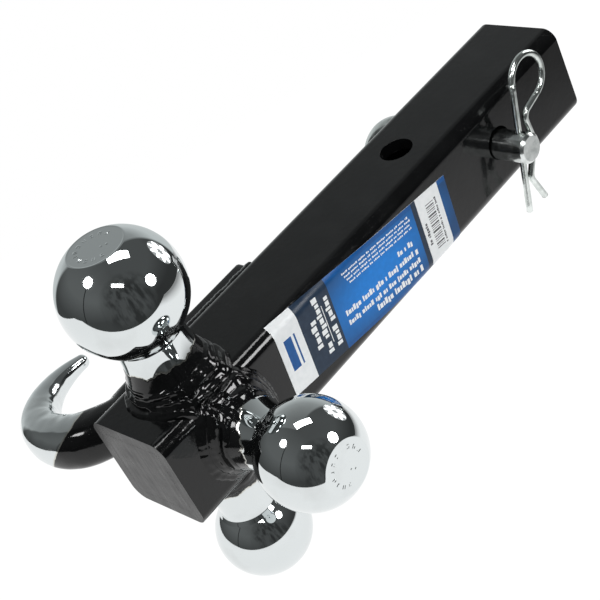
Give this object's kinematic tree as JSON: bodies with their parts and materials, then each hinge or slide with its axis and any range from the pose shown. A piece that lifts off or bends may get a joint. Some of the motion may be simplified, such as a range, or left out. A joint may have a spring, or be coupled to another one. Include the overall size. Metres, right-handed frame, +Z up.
{
  "type": "trailer hitch ball mount",
  "caption": "Square receiver shank with welded tow balls on three sides, a tow hook on the fourth, and a bent hitch pin with its spring clip.",
  "frame": {"origin": "where the hitch-pin hole's centre line crosses the centre line of the square shank", "axes": "+Y along the shank to the open end that enters the receiver, +Z up towards the large ball, +X towards the medium ball, -X the tow hook, -Z the small ball"},
  "size_m": [0.1983, 0.3245, 0.2013],
  "materials": {
    "black_paint": "gloss",
    "bare_plug": "satin",
    "ball_chrome": "polished",
    "weld_black": "gloss over weld ripples",
    "hook_chrome": "polished tip, black painted root",
    "pin_zinc": "bright zinc",
    "clip_zinc": "bright zinc",
    "label_print": "printed film",
    "barcode_print": "printed film"
  },
  "bodies": {
    "mount": {"shank_tube": "black_paint", "end_plug": "bare_plug", "end_plug_weld": "bare_plug", "tow_hook": "hook_chrome", "hook_weld_top": "weld_black", "hook_weld_bottom": "weld_black", "hook_weld_rear": "weld_black", "product_label": "label_print", "barcode_label": "barcode_print", "large_ball": "ball_chrome", "large_ball_weld_root": "weld_black", "large_ball_weld_fill": "weld_black", "large_ball_weld_cap": "weld_black", "medium_ball": "ball_chrome", "medium_ball_weld_root": "weld_black", "medium_ball_weld_fill": "weld_black", "medium_ball_weld_cap": "weld_black", "small_ball": "ball_chrome", "small_ball_weld_root": "weld_black", "small_ball_weld_fill": "weld_black", "small_ball_weld_cap": "weld_black"},
    "pin": {"hitch_pin": "pin_zinc"},
    "clip": {"clip_straight_leg": "clip_zinc"},
    "clip_leg": {"clip_spring_leg": "clip_zinc"}
  },
  "joints": [
    {"name": "pin_slide", "type": "slide", "parent": "mount", "child": "pin", "axis": [1, 0, 0], "range_m": [-0.0105, 0.015]},
    {"name": "clip_pull", "type": "slide", "parent": "pin", "child": "clip", "axis": [0, 0.2756, 0.9613], "range_m": [0, 0.046]},
    {"name": "clip_leg_spread", "type": "hinge", "parent": "clip", "child": "clip_leg", "pos_m": [0.0385, 0.02432, 0.04055], "axis": [1, 0, 0], "range_deg": [0, 16.6]}
  ],
  "couplings": [
    {"joint": "clip_leg_spread", "follows": "clip_pull", "rad_per_m": 6.2832}
  ]
}
